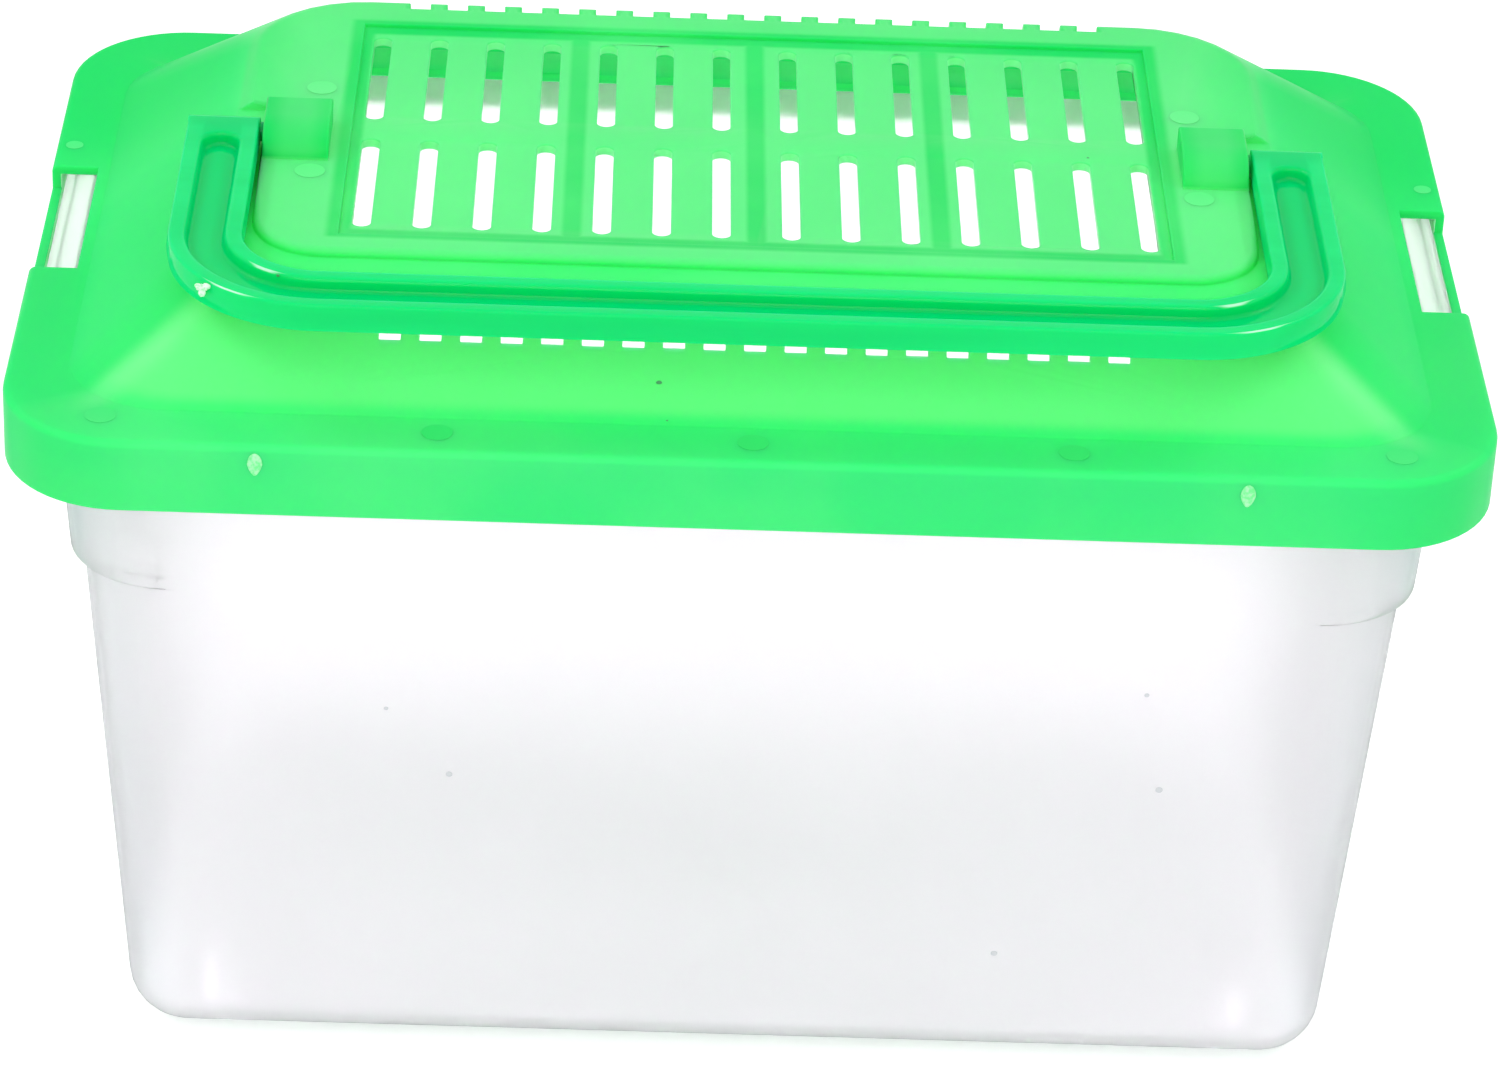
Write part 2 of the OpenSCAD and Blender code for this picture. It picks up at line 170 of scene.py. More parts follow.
class KeeperColours(bpy.types.PropertyGroup):
    """Colours of the mouldings and their marks, and how clear the tub is"""

    lid: colour_value("Lid", "Green of the lid where it is in plain light", (0.05, 0.87, 0.22))
    # Deeper green over ribs and bosses, and painted shade at the ends, the rear and the undersides
    lid_thick_and_painted_shade: colour_value("Lid, thick", "Green of the lid over its ribs and bosses", (0.01, 0.66, 0.12))
    # Painted light on the slopes; also the pale mottling of the lid and the pale speckle of the dimples
    lid_pale_and_painted_light: colour_value(
        "Lid, lit", "Green of the lid where light comes through the slopes", (0.15, 0.92, 0.265)
    )
    skirt: colour_value("Skirt", "Green of the skirt round the rim", (0.048, 0.775, 0.215))
    # Painted highlight along the hips, and painted light on the slot walls and inside the skirt
    painted_sheen: colour_value("Sheen", "Pale green along the hips of the dome", (0.4, 0.97, 0.5))
    lid_pad: colour_value(
        "Lid, top", "Green of the pad and the panel on top of the dome", (0.108, 0.775, 0.228)
    )
    # Painted shade in the seat, tinted with the handle's green
    seat: colour_value("Lid, seat", "Green of the lid in the seat of the handle", (0.03, 0.84, 0.16))
    handle: colour_value("Handle", "Green of the handle rims", (0.004, 0.69, 0.18))
    # Painted highlight on the handle's rounded corners
    glint: colour_value("Handle, glint", "Light that glints on the rounded corners", (0.7, 1.0, 0.82))
    # Flow lines in the handle, and painted shade in its groove
    handle_streaks_and_painted_shade: colour_value(
        "Handle, streaks", "Deeper green of the flow lines in the handle", (0.0, 0.6, 0.145)
    )
    lid_mark: colour_value("Ejector mark", "Green of the marks of the ejector pins", (0.045, 0.83, 0.2))
    pad_mark: colour_value(
        "Ejector mark on the pad", "Green of the marks beside the bosses", (0.115, 0.87, 0.245)
    )
    scar: colour_value("Scars", "Stressed plastic that has turned pale", (0.42, 0.93, 0.5))
    speck: colour_value("Specks", "Burnt specks in the plastic", (0.07, 0.32, 0.13))
    grey_speck: colour_value("Specks, tub", "Grey specks in the tub", (0.66, 0.67, 0.7))
    burr: colour_value("Gate burr", "Pale scrap where the handle was cut from its gate", (0.78, 0.94, 0.8))
    tub: colour_value("Tub", "Tint of the milky-clear tub", (1.0, 0.96, 1.0))
    tub_band: colour_value("Tub, grip bands", "Tint of the thicker bands at the ends", (0.66, 0.8, 0.77))
    # Painted green light from the lid on the tub's rim
    tub_rim_painted_light: colour_value("Tub, rim", "Tint of the tub's rim under the lid", (0.88, 1.0, 0.9))
    tub_corner: colour_value("Tub, corners", "Tint of the tub down its corners", (0.92, 0.93, 0.965))
    # Painted shade at the tub's outline
    tub_edge_painted_shade: colour_value("Tub, outline", "Tint where the wall is seen edge on", (0.68, 0.72, 0.75))
    tub_clear: bpy.props.FloatProperty(
        name="Tub clearness",
        description="Share of light that goes through the tub",
        default=0.75,
        min=0,
        max=1,
        subtype="FACTOR",
    )


class KeeperMarks(bpy.types.PropertyGroup):
    """Sizes of the marks that moulding leaves on the mouldings"""

    soft_edge: length_value("Soft edge", "Rounding that moulding leaves on every edge", 0.25 * MM)
    pad_edge: length_value(
        "Pad edge", "Rounding of the pad where it drops to the seat of the handle", 1.3 * MM
    )
    boss_edge: length_value("Boss edge", "Rounding of the pivot bosses", 0.5 * MM)
    handle_edge: length_value("Handle edge", "Rounding along the groove of the handle", 0.7 * MM)
    ejector: length_value("Ejector mark", "Diameter of an ejector mark on the flange", 5 * MM)
    dimple: length_value("Bead dimple", "Height of the pale dimples over the catch beads", 4 * MM)


class KeeperStage(bpy.types.PropertyGroup):
    """Camera, floor and lamps"""

    floor: colour_value("Floor", "Colour of the floor", (0.93, 0.93, 0.93))
    place: bpy.props.FloatVectorProperty(
        name="Camera place",
        description="Where the camera stands",
        default=(-0.020687, -0.835542, 0.562551),
        subtype="TRANSLATION",
        unit="LENGTH",
    )
    turn: angle_value("Camera turn", "Turn of the view to the right of straight back", 0.0272)
    tilt: angle_value("Camera tilt", "Tilt of the view under the horizon", 0.5313)
    roll: angle_value("Camera roll", "Roll of the camera about its view", 0.0454)
    focal_px: bpy.props.FloatProperty(
        name="Focal length in pixels",
        description="Focal length of the lens over the pixel size of the image",
        default=5562.98,
        min=1,
    )
    lamp: power_value("Lamp", "Power of the overhead lamp", 8.9)
    strip: power_value("Strips", "Power of each narrow lamp at the sides", 2.8)
    fill: bpy.props.FloatProperty(
        name="Fill",
        description="Strength of the light from all round",
        default=0.67,
        min=0,
    )


# Small helpers


def deselect_all():
    if bpy.context.object and bpy.context.object.mode != "OBJECT":
        bpy.ops.object.mode_set(mode="OBJECT")
    bpy.ops.object.select_all(action="DESELECT")


def new_material(name, colour, roughness, coat=0.0):
    """Plastic with its uniform values on the shader itself"""
    material = bpy.data.materials.new(name)
    material.use_nodes = True
    shader = material.node_tree.nodes["Principled BSDF"]
    shader.inputs["Base Color"].default_value = (*colour, 1)
    shader.inputs["Roughness"].default_value = roughness
    shader.inputs["Coat Weight"].default_value = coat
    return material, material.node_tree, shader


def let_light_in(shader, depth, reach=(0.3, 1.0, 0.45)):
    """Translucent plastic: light spreads inside the wall"""
    shader.inputs["Subsurface Weight"].default_value = SPREAD
    shader.inputs["Subsurface Radius"].default_value = reach
    shader.inputs["Subsurface Scale"].default_value = depth


def soft_copy(node_name, material, rounds):
    """Replaces a CAD node by a merged copy with soft edges and its finish"""
    moulding = frame["nodes"][node_name]
    piece = moulding.copy()
    piece.data = piece.data.copy()
    piece.parent = None
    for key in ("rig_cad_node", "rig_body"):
        del piece[key]
    piece.name = node_name + "_moulding"
    piece.data.name = piece.name
    bpy.context.scene.collection.objects.link(piece)
    select_only(piece)
    if piece.data.has_custom_normals:
        bpy.ops.mesh.customdata_custom_splitnormals_clear()
    bpy.ops.object.mode_set(mode="EDIT")
    bpy.ops.mesh.select_all(action="SELECT")
    bpy.ops.mesh.remove_doubles(threshold=MERGE)
    # Faces without width go in two passes
    for _ in range(2):
        bpy.ops.mesh.select_all(action="SELECT")
        bpy.ops.mesh.dissolve_degenerate(threshold=MERGE)
    # A seam down each middle keeps a flat ring from closing into one face
    for way in ((1, 0, 0), (0, 1, 0)):
        bpy.ops.mesh.select_all(action="SELECT")
        bpy.ops.mesh.bisect(plane_co=(0, 0, 0), plane_no=way)
        bpy.ops.mesh.mark_seam()
    bpy.ops.mesh.select_all(action="SELECT")
    bpy.ops.mesh.dissolve_limited(angle_limit=FLAT_ANGLE, delimit={"SEAM"})
    for width, segments, wanted in rounds:
        soften_edges(piece, width, segments, wanted)
    bpy.ops.mesh.reveal(select=False)
    bpy.ops.object.mode_set(mode="OBJECT")
    widest = max(width for width, segments, wanted in rounds)
    draw_in(piece, moulding, widest * DEEPEST_CUT)
    bpy.ops.object.shade_smooth_by_angle(angle=SMOOTH_ANGLE)
    piece.data.materials.clear()
    piece.data.materials.append(material)
    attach(piece, node_name)
    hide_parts(node_name)


def soften_edges(piece, width, segments, wanted):
    """Rounds the sharp edges for which wanted is true"""
    bpy.ops.mesh.select_mode(type="EDGE")
    bpy.ops.mesh.select_all(action="DESELECT")
    bpy.ops.mesh.edges_select_sharp(sharpness=EDGE_ANGLE)
    shape = bmesh.from_edit_mesh(piece.data)
    for edge in shape.edges:
        beside_rounding = any(face.hide for corner in edge.verts for face in corner.link_faces)
        if edge.select and (beside_rounding or not wanted(edge)):
            edge.select_set(False)
    bmesh.update_edit_mesh(piece.data)
    bpy.ops.mesh.bevel(offset=width, segments=segments, clamp_overlap=False)
    bpy.ops.mesh.select_mode(type="FACE")
    bpy.ops.mesh.hide()


def every_edge(edge):
    return True


def before_hub(edge):
    """The thin arcs round the handle's hubs stay as they are"""
    return all(corner.co.y <= HUB_FRONT for corner in edge.verts)


def on_pad_edge(edge):
    """Where the pad drops to the seat, but not where a boss stands on it"""
    level = all(abs(corner.co.z - DOME_TOP) < MERGE for corner in edge.verts)
    reach = PANEL + Vector((MM, MM))
    away = any(abs(corner.co.x) > reach.x or abs(corner.co.y) > reach.y for corner in edge.verts)
    drops = min(face.calc_center_median().z for face in edge.link_faces) < DOME_TOP - 0.1 * MM
    return level and away and drops


def on_boss(edge):
    """The bosses, but not their bores"""
    over = all(corner.co.z > DOME_TOP + 0.1 * MM for corner in edge.verts)
    bore = any((Vector((0, *corner.co.yz)) - PIN).length < BORE_REACH for corner in edge.verts)
    return over and not bore


def draw_in(piece, moulding, reach):
    """Puts the few corners that the rounding overshot back on the moulding"""
    shape = bmesh.new()
    shape.from_mesh(moulding.data)
    surface = BVHTree.FromBMesh(shape)
    shape.free()
    for corner in piece.data.vertices:
        nearest, normal, face, gap = surface.find_nearest(corner.co)
        if gap > reach:
            corner.co = nearest


def select_faces(piece, wanted):
    """Selects the faces of the piece in edit mode for which wanted is true"""
    bpy.ops.mesh.select_mode(type="FACE")
    shape = bmesh.from_edit_mesh(piece.data)
    for face in shape.faces:
        face.select_set(wanted(face))
    shape.select_flush_mode()
    bmesh.update_edit_mesh(piece.data)


def select_only(piece):
    deselect_all()
    piece.select_set(True)
    bpy.context.view_layer.objects.active = piece


def add_node(tree, kind, **values):
    node = tree.nodes.new(kind)
    for key, value in values.items():
        setattr(node, key, value)
    return node


def object_point(tree):
    """Object coordinates, and each of their parts"""
    place = add_node(tree, "ShaderNodeTexCoord")
    parts = add_node(tree, "ShaderNodeSeparateXYZ")
    tree.links.new(place.outputs["Object"], parts.inputs[0])
    return place.outputs["Object"], parts.outputs


def math_node(tree, operation, first, second=None, third=None):
    node = add_node(tree, "ShaderNodeMath", operation=operation)
    for socket, value in zip(node.inputs, (first, second, third)):
        if value is None:
            continue
        if isinstance(value, (int, float)):
            socket.default_value = value
        else:
            tree.links.new(value, socket)
    return node.outputs[0]


def times(tree, first, *others):
    for other in others:
        first = math_node(tree, "MULTIPLY", first, other)
    return first


def highest(tree, first, *others):
    for other in others:
        first = math_node(tree, "MAXIMUM", first, other)
    return first


def ramp(tree, value, low, high):
    """0 below low, 1 above high, or the other way round where high is the lower"""
    node = add_node(tree, "ShaderNodeMapRange", interpolation_type="SMOOTHSTEP")
    node.inputs["From Min"].default_value = low
    node.inputs["From Max"].default_value = high
    tree.links.new(value, node.inputs["Value"])
    return node.outputs["Result"]


def mix_colour(tree, factor, first, second):
    node = add_node(tree, "ShaderNodeMix", data_type="RGBA")
    for socket, value in ((node.inputs[0], factor), (node.inputs[6], first), (node.inputs[7], second)):
        if isinstance(value, (int, float)):
            socket.default_value = value
        elif isinstance(value, bpy.types.NodeSocket):
            tree.links.new(value, socket)
        else:
            socket.default_value = (*value, 1)
    return node.outputs[2]


def within(tree, parts, edges, soft):
    """1 inside a rectangle of the given half sizes, 0 outside it"""
    sides = [ramp(tree, part, edge, edge - fade) for part, edge, fade in zip(parts, edges, soft)]
    return times(tree, *sides)


def from_handle(tree, x, y):
    """Distance from the middle line of the handle's bar, corners and arms"""
    out = math_node(tree, "SUBTRACT", math_node(tree, "ABSOLUTE", x), ARM_X - BEND)
    front = math_node(tree, "SUBTRACT", BAR_Y + BEND, y)
    squares = [math_node(tree, "POWER", highest(tree, way, 0.0), 2.0) for way in (out, front)]
    corner = math_node(tree, "SQRT", math_node(tree, "ADD", *squares))
    inside = math_node(tree, "MINIMUM", highest(tree, out, front), 0.0)
    away = math_node(tree, "SUBTRACT", math_node(tree, "ADD", corner, inside), BEND)
    return math_node(tree, "ABSOLUTE", away)


def dot_product(tree, first, second):
    node = add_node(tree, "ShaderNodeVectorMath", operation="DOT_PRODUCT")
    tree.links.new(first, node.inputs[0])
    if isinstance(second, bpy.types.NodeSocket):
        tree.links.new(second, node.inputs[1])
    else:
        node.inputs[1].default_value = second
    return node.outputs["Value"]


def glint(tree, around):
    """Mask for a painted highlight where a rounded edge faces up and to the given side"""
    normal = add_node(tree, "ShaderNodeNewGeometry").outputs["Normal"]
    lean, off = [dot_product(tree, normal, way.to_3d()) for way in (around, around.orthogonal())]
    off = math_node(tree, "ABSOLUTE", off)
    return times(tree, ramp(tree, off, 0.14, 0.04), ramp(tree, lean, 0.4, 0.55), ramp(tree, lean, 0.93, 0.8))


def noise(tree, point, scale, detail=2, stretch=(1, 1, 1)):
    mapping = add_node(tree, "ShaderNodeMapping")
    mapping.inputs["Scale"].default_value = stretch
    tree.links.new(point, mapping.inputs["Vector"])
    node = add_node(tree, "ShaderNodeTexNoise")
    node.inputs["Scale"].default_value = scale
    node.inputs["Detail"].default_value = detail
    tree.links.new(mapping.outputs[0], node.inputs["Vector"])
    return node.outputs["Fac"]


def bump(tree, shader, height, strength, distance):
    node = add_node(tree, "ShaderNodeBump")
    node.inputs["Strength"].default_value = strength
    node.inputs["Distance"].default_value = distance
    tree.links.new(height, node.inputs["Height"])
    tree.links.new(node.outputs[0], shader.inputs["Normal"])


def lid_slopes(tree, colours, parts, across, along):
    """Colour of skirt, flange and slopes with painted light, and the painted shade of the ends and the rear
    """
    x, y, z = parts
    down_end = math_node(tree, "MULTIPLY_ADD", across, -1 / RUN_END, FOOT_X / RUN_END)
    down_side = math_node(tree, "MULTIPLY_ADD", along, -1 / RUN_SIDE, FOOT_Y / RUN_SIDE)
    apart = math_node(tree, "SUBTRACT", down_end, down_side)
    at_end = times(tree, ramp(tree, apart, 0.1, -0.35), ramp(tree, across, *END_SLOPES))
    rear = times(tree, ramp(tree, y, *REAR_SLOPES), ramp(tree, across, *REAR_ENDS))
    # Painted light on the slopes over the tub, weaker at the ends and the rear
    lit = ramp(tree, z, FLANGE_TOP + 0.3 * MM, FLANGE_TOP + 2.5 * MM)
    for place, loss in ((at_end, 0.85), (rear, 0.8)):
        lit = times(tree, lit, math_node(tree, "MULTIPLY_ADD", place, -loss, 1.0))
    skirt = ramp(tree, z, FLANGE_TOP - 0.5 * MM, FLANGE_TOP - 1.5 * MM)
    rim = mix_colour(tree, skirt, tuple(colours.lid), tuple(colours.skirt))
    # Painted light: the slopes turn paler by the lit ramp
    colour = mix_colour(tree, lit, rim, tuple(colours.lid_pale_and_painted_light))
    # Painted highlight along the hips between the slopes
    apart = math_node(tree, "ABSOLUTE", apart)
    hip = times(tree, ramp(tree, down_end, 0.0, 0.25), ramp(tree, down_end, 1.0, 0.6))
    ridge = times(tree, ramp(tree, apart, 0.12, 0.0), ramp(tree, y, *REAR_RIDGES), 0.5)
    hip = times(tree, hip, highest(tree, times(tree, ramp(tree, apart, 0.35, 0.0), 0.25), ridge))
    colour = mix_colour(tree, hip, colour, tuple(colours.painted_sheen))
    # Painted shade on the outer and the rear flange, and on the ends and the rear
    outer = times(tree, ramp(tree, across, *OUTER_FLANGE), 0.4)
    behind = times(tree, ramp(tree, y, *REAR_FLANGE), 0.3)
    painted_shade = highest(tree, times(tree, rear, 0.85), outer, behind, times(tree, at_end, 0.45))
    return colour, painted_shade, highest(tree, at_end, rear)


def lid_top(tree, colours, colour, parts, across, along):
    """Pad and panel on top of the dome, with deeper bands over ribs, border and bosses, and painted light on
    the slot walls
    """
    x, y, z = parts
    level = ramp(tree, z, DOME_TOP - 2 * MM, DOME_TOP - 1 * MM)
    in_panel = within(tree, (across, along), PANEL, (MM, MM))
    in_slot = times(tree, in_panel, ramp(tree, z, DOME_TOP - 6 * MM, DOME_TOP - 4 * MM))
    level = highest(tree, level, in_slot)
    colour = mix_colour(tree, level, colour, tuple(colours.lid_pad))
    # Painted light on the walls of the slots
    walls = times(tree, in_slot, ramp(tree, z, DOME_TOP - 0.9 * MM, DOME_TOP - 1.1 * MM), 0.45)
    colour = mix_colour(tree, walls, colour, tuple(colours.painted_sheen))
    ribs = ramp(tree, math_node(tree, "PINGPONG", x, RIB_PITCH / 2), 2.1 * MM, 1 * MM)
    rib_ends = PANEL + Vector((-27.4 * MM, 0.3 * MM))
    ribs = times(tree, ribs, within(tree, (across, along), rib_ends, (4 * MM, 0.8 * MM)), 0.85)
    outer = within(tree, (across, along), PANEL + Vector((2.8 * MM, 2.1 * MM)), (1.6 * MM, 1.4 * MM))
    inner = within(tree, (across, along), PANEL - Vector((1.2 * MM, 2.1 * MM)), (1.2 * MM, 1.2 * MM))
    border = math_node(tree, "SUBTRACT", outer, inner)
    deep = times(tree, highest(tree, ribs, border), level)
    # The bosses are deeper towards their sides
    middle = math_node(tree, "ABSOLUTE", math_node(tree, "SUBTRACT", across, BOSS_X))
    side = math_node(tree, "MULTIPLY_ADD", ramp(tree, middle, 1.5 * MM, 5 * MM), 0.4, 0.6)
    side = times(tree, side, ramp(tree, z, DOME_TOP, DOME_TOP + 0.6 * MM))
    return mix_colour(tree, highest(tree, deep, side), colour, tuple(colours.lid_thick_and_painted_shade))


def lid_seat(tree, colours, colour, parts):
    """Painted shade in the seat of the handle, tinted with the handle's green"""
    x, y, z = parts
    seat = ramp(tree, from_handle(tree, x, y), 23 * MM, 21 * MM)
    seat = times(tree, seat, ramp(tree, z, DOME_TOP - 0.1 * MM, DOME_TOP - SEAT * 0.8))
    seat = times(tree, seat, ramp(tree, z, DOME_TOP - 4 * MM, DOME_TOP - 2 * MM))
    seat = times(tree, seat, ramp(tree, y, PIN.y, PIN.y - 8 * MM), 0.8)
    return mix_colour(tree, seat, colour, tuple(colours.seat))


def lid_inside(tree, colours, colour, point, parts):
    """Painted shade on the undersides of the slopes and painted light on the inside of the skirt"""
    normal = add_node(tree, "ShaderNodeNewGeometry").outputs["Normal"]
    facing = add_node(tree, "ShaderNodeSeparateXYZ")
    tree.links.new(normal, facing.inputs[0])
    up = facing.outputs[2]
    # Painted shade where the faces look down
    under = times(tree, ramp(tree, up, -0.3, -0.5), ramp(tree, up, -0.95, -0.85), 0.7)
    colour = mix_colour(tree, under, colour, tuple(colours.lid_thick_and_painted_shade))
    # Painted light on the inner face of the skirt, as if lit from behind
    inner_wall = ramp(tree, dot_product(tree, normal, point), -40 * MM, -60 * MM)
    inner_wall = times(tree, inner_wall, ramp(tree, parts[2], FLANGE_TOP - 1.4 * MM, FLANGE_TOP - 1.8 * MM))
    return mix_colour(tree, inner_wall, colour, tuple(colours.painted_sheen))


class KEEPER_OT_lid_finish(bpy.types.Operator):
    """Green translucent plastic of the lid, deeper over ribs and bosses, with painted light and painted
    shade
    """

    bl_idname = "keeper.lid_finish"
    bl_label = "Lid finish"

    def execute(self, context):
        colours = context.scene.keeper_colours
        material, tree, shader = new_material("lid plastic", colours.lid, 0.3)
        let_light_in(shader, 4 * MM)
        shader.inputs["IOR"].default_value = 1.25
        point, parts = object_point(tree)
        across = math_node(tree, "ABSOLUTE", parts[0])
        along = math_node(tree, "ABSOLUTE", parts[1])
        colour, painted_shade, dull = lid_slopes(tree, colours, parts, across, along)
        gloss = math_node(tree, "MULTIPLY_ADD", dull, -0.17, 0.2)
        tree.links.new(gloss, shader.inputs["Specular IOR Level"])
        colour = lid_top(tree, colours, colour, parts, across, along)
        colour = lid_seat(tree, colours, colour, parts)
        cloud = times(tree, ramp(tree, noise(tree, point, 28, 3), 0.35, 0.75), 0.3)
        colour = mix_colour(tree, cloud, colour, tuple(colours.lid_pale_and_painted_light))
        # Painted shade at the ends and the rear, away from the light
        colour = mix_colour(tree, painted_shade, colour, tuple(colours.lid_thick_and_painted_shade))
        colour = lid_inside(tree, colours, colour, point, parts)
        tree.links.new(colour, shader.inputs["Base Color"])
        bump(tree, shader, noise(tree, point, 90), 0.12, 0.4 * MM)
        marks = context.scene.keeper_marks
        rounds = [
            (marks.pad_edge, 5, on_pad_edge),
            (marks.boss_edge, 4, on_boss),
            (marks.soft_edge, 3, every_edge),
        ]
        soft_copy("lid", material, rounds)
        return {"FINISHED"}


class KEEPER_OT_handle_finish(bpy.types.Operator):
    """Deeper green plastic of the handle, with flow lines along it, painted shade in its groove and painted
    highlights on its corners
    """

    bl_idname = "keeper.handle_finish"
    bl_label = "Handle finish"

    def execute(self, context):
        colours = context.scene.keeper_colours
        material, tree, shader = new_material("handle plastic", colours.handle, 0.3, 0.4)
        let_light_in(shader, 5 * MM)
        shader.inputs["IOR"].default_value = 1.25
        shader.inputs["Specular IOR Level"].default_value = 0.0
        shader.inputs["Coat Roughness"].default_value = 0.06
        shader.inputs["Coat IOR"].default_value = 1.35
        point, (x, y, z) = object_point(tree)
        streak = noise(tree, point, 60, 3, (0.25, 2.2, 2.2))
        streak = times(tree, ramp(tree, streak, 0.4, 0.7), 0.5)
        # Painted shade deepens the groove; the hubs are also darker than the rims
        groove = times(tree, ramp(tree, from_handle(tree, x, y), 3.7 * MM, 2.7 * MM), 0.9)
        hub = times(tree, ramp(tree, y, PIN.y - 5 * MM, PIN.y - 1 * MM), 0.8)
        deep = highest(tree, streak, hub, groove)
        colour = mix_colour(tree, deep, tuple(colours.handle), tuple(colours.handle_streaks_and_painted_shade))
        # Painted highlights on the rounded edges of the front corners, in place of a mirrored lamp
        painted_highlight = highest(tree, *[glint(tree, around) for around in GLINTS])
        at_top = ramp(tree, z, HANDLE_HIGH.z - 1.6 * MM, HANDLE_HIGH.z - 1.2 * MM)
        painted_highlight = times(tree, painted_highlight, at_top, ramp(tree, y, -30 * MM, -40 * MM), 0.75)
        colour = mix_colour(tree, painted_highlight, colour, tuple(colours.glint))
        depth = math_node(tree, "MULTIPLY_ADD", painted_highlight, -SPREAD, SPREAD)
        tree.links.new(depth, shader.inputs["Subsurface Weight"])
        tree.links.new(colour, shader.inputs["Base Color"])
        bump(tree, shader, noise(tree, point, 120), 0.1, 0.3 * MM)
        marks = context.scene.keeper_marks
        soft_copy("handle", material, [(marks.handle_edge, 4, before_hub)])
        return {"FINISHED"}


class KEEPER_OT_tub_finish(bpy.types.Operator):
    """Milky-clear plastic of the tub, with painted light at its rim and painted shade at its outline"""

    bl_idname = "keeper.tub_finish"
    bl_label = "Tub finish"

    def execute(self, context):
        colours = context.scene.keeper_colours
        material, tree, shader = new_material("tub plastic", colours.tub, 0.42)
        shader.inputs["Transmission Weight"].default_value = colours.tub_clear
        shader.inputs["IOR"].default_value = 1.2
        let_light_in(shader, 6 * MM, (1, 1, 1))
        point, (x, y, z) = object_point(tree)
        across = math_node(tree, "ABSOLUTE", x)
        # Thicker at the grip bands and down the corners
        high = ramp(tree, z, BAND_LOW - 0.3 * MM, BAND_LOW + 0.5 * MM)
        band = times(tree, ramp(tree, across, 106 * MM, 109 * MM), high)
        colour = mix_colour(tree, band, tuple(colours.tub), tuple(colours.tub_band))
        corner = ramp(tree, math_node(tree, "MULTIPLY_ADD", z, -DRAFT, across), 88 * MM, 101 * MM)
        heel = times(tree, ramp(tree, z, 12 * MM, 2 * MM), 0.6)
        corner = times(tree, highest(tree, corner, heel), 0.6)
        colour = mix_colour(tree, corner, colour, tuple(colours.tub_corner))
        # Painted green light from the lid round the rim
        rim = times(tree, ramp(tree, z, TUB_HIGH.z - 9 * MM, TUB_HIGH.z - 4 * MM), 0.8)
        colour = mix_colour(tree, rim, colour, tuple(colours.tub_rim_painted_light))
        # Painted shade at the outline, where the wall is seen edge on
        edge = add_node(tree, "ShaderNodeLayerWeight")
        edge.inputs["Blend"].default_value = 0.2
        edge = ramp(tree, edge.outputs["Facing"], 0.7, 1.0)
        colour = mix_colour(tree, edge, colour, tuple(colours.tub_edge_painted_shade))
        tree.links.new(colour, shader.inputs["Base Color"])
        bump(tree, shader, noise(tree, point, 60), 0.08, 0.4 * MM)
        marks = context.scene.keeper_marks
        soft_copy("tub", material, [(marks.soft_edge, 3, every_edge)])
        return {"FINISHED"}


class KEEPER_OT_ejector_marks(bpy.types.Operator):
    """Faint round marks that the ejector pins leave on the flange and the pad"""

    bl_idname = "keeper.ejector_marks"
    bl_label = "Ejector marks"

    def execute(self, context):
        marks = context.scene.keeper_marks
        colours = context.scene.keeper_colours
        material, tree, shader = new_material("ejector mark", colours.lid_mark, 0.4)
        point, (x, y, z) = object_point(tree)
        level = ramp(tree, z, DOME_TOP - 2 * MM, DOME_TOP - 1 * MM)
        colour = mix_colour(tree, level, tuple(colours.lid_mark), tuple(colours.pad_mark))
        tree.links.new(colour, shader.inputs["Base Color"])
        shader.inputs["Specular IOR Level"].default_value = 0.2
        rise = 0.05 * MM
        dip = 0.035 * MM
        border = 0.5 * MM
        deep = 0.4 * MM
        first = None
        places = [(x, y, FLANGE_TOP, 1) for x, y in EJECTOR_PLACES]
        places += [(x, y, DOME_TOP, 1) for x, y in PAD_MARKS]
        places += [(x, y, FLANGE_TOP, SMALL_SHARE) for x, y in SMALL_MARKS]
        for x, y, height, share in places:
            place = Vector((x * MM, y * MM, height + rise - deep / 2))
            if first is None:
                deselect_all()
                bpy.ops.mesh.primitive_cylinder_add(
                    vertices=48, radius=marks.ejector / 2, depth=deep, location=place
                )
                first = piece = context.object
                piece.data.materials.append(material)
                bpy.ops.object.mode_set(mode="EDIT")
                select_faces(piece, lambda face: face.normal.z > 0.9)
                bpy.ops.mesh.inset(thickness=border)
                bpy.ops.transform.translate(value=(0, 0, -dip))
                bpy.ops.object.mode_set(mode="OBJECT")
                bpy.ops.object.shade_smooth_by_angle(angle=SMOOTH_ANGLE)
                bpy.ops.object.transform_apply(location=True)
                origin = place
            else:
                piece = first.copy()
                piece.data = first.data.copy()
                piece.parent = None
                shrink = Matrix.Diagonal((share, share, 1, 1))
                piece.data.transform(Matrix.Translation(place) @ shrink @ Matrix.Translation(-origin))
                context.scene.collection.objects.link(piece)
            piece.name = "ejector_mark"
            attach(piece, "lid")
        return {"FINISHED"}


